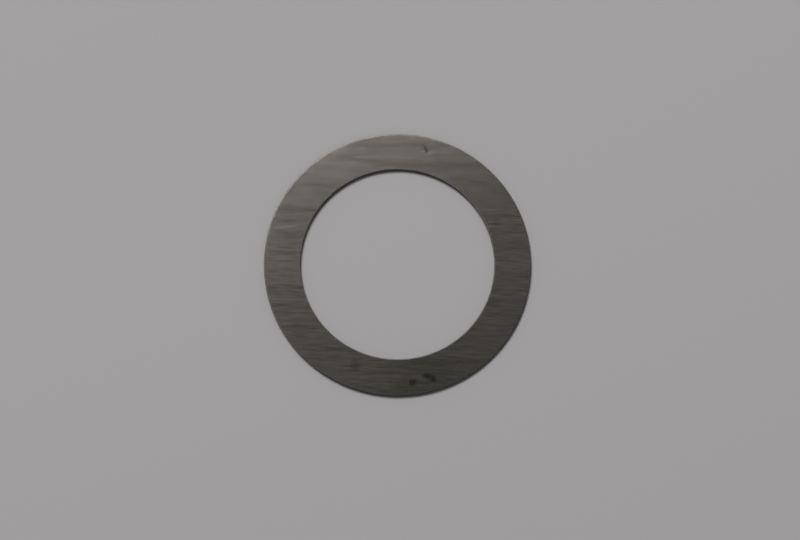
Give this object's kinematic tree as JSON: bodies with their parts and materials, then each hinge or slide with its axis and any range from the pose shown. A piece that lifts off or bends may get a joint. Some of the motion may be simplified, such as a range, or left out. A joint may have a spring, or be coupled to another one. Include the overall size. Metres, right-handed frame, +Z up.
{
  "type": "shim ring",
  "caption": "Thin flat steel shim ring with a wide round bore, punched from cold rolled strip to take up end play on a shaft.",
  "frame": {"origin": "centre of the underside, on the axis of the bore", "axes": "+Z up the axis of the bore, from the underside to the top face; +X along the strip's rolling direction, to within a few degrees"},
  "size_m": [0.0278, 0.0278, 0.0005],
  "materials": {
    "rolled_steel": "dull cold rolled spring steel strip with straight roll marks, punched and tumbled edges, a few dark stains"
  },
  "bodies": {
    "root": {"shim_ring": "rolled_steel"}
  },
  "joints": []
}
